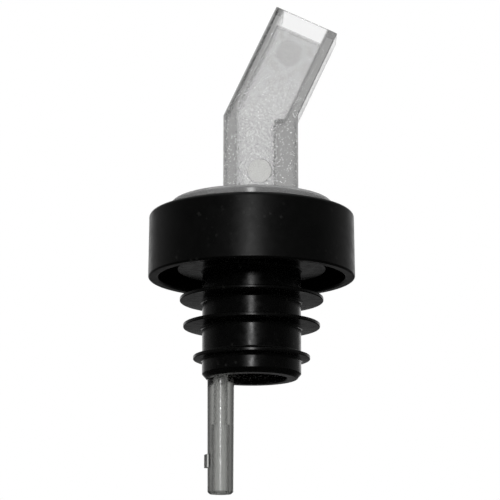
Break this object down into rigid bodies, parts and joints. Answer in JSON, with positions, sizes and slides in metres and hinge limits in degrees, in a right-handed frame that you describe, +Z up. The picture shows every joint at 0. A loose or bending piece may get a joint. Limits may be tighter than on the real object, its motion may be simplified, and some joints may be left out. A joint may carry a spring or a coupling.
{
  "type": "liquor pour spout",
  "caption": "Measuring bottle pourer: bent rectangular translucent spout on a round collar, ribbed black plug, off-centre air tube and a ball cage inside.",
  "frame": {"origin": "centre of the bottle-lip seat, the flat underside of the collar's web", "axes": "+Z up along the plug's axis, out of the bottle; the spout leans towards +X; the object is symmetric about the XZ plane but for a notch in the back of the mouth, marks on the front face and a nub on the air tube"},
  "size_m": [0.0348, 0.0348, 0.0834],
  "materials": {
    "clear_plastic": "frosted, with a fine sparkle",
    "black_plastic": "moulded, semi-gloss",
    "black_cork": "soft moulded, semi-gloss",
    "vent_plastic": "translucent, moulded",
    "cage_plastic": "translucent, moulded",
    "steel": "polished stainless steel"
  },
  "bodies": {
    "spout": {"collar": "black_plastic", "spout_body": "clear_plastic", "cork_sleeve": "black_cork", "vent_tube": "vent_plastic", "timing_cage": "cage_plastic", "cage_cap": "cage_plastic"},
    "ball_lower": {"ball_lower": "steel"},
    "ball_middle": {"ball_middle": "steel"},
    "ball_upper": {"ball_upper": "steel"}
  },
  "joints": [
    {"name": "ball_lower_slide", "type": "slide", "parent": "spout", "child": "ball_lower", "axis": [0, 0, 1], "range_m": [0, 0.0075]},
    {"name": "ball_middle_slide", "type": "slide", "parent": "spout", "child": "ball_middle", "axis": [0, 0, 1], "range_m": [0, 0.0075]},
    {"name": "ball_upper_slide", "type": "slide", "parent": "spout", "child": "ball_upper", "axis": [0, 0, 1], "range_m": [0, 0.0075]}
  ],
  "couplings": [
    {"joint": "ball_middle_slide", "follows": "ball_lower_slide", "ratio": 1},
    {"joint": "ball_upper_slide", "follows": "ball_lower_slide", "ratio": 1}
  ]
}
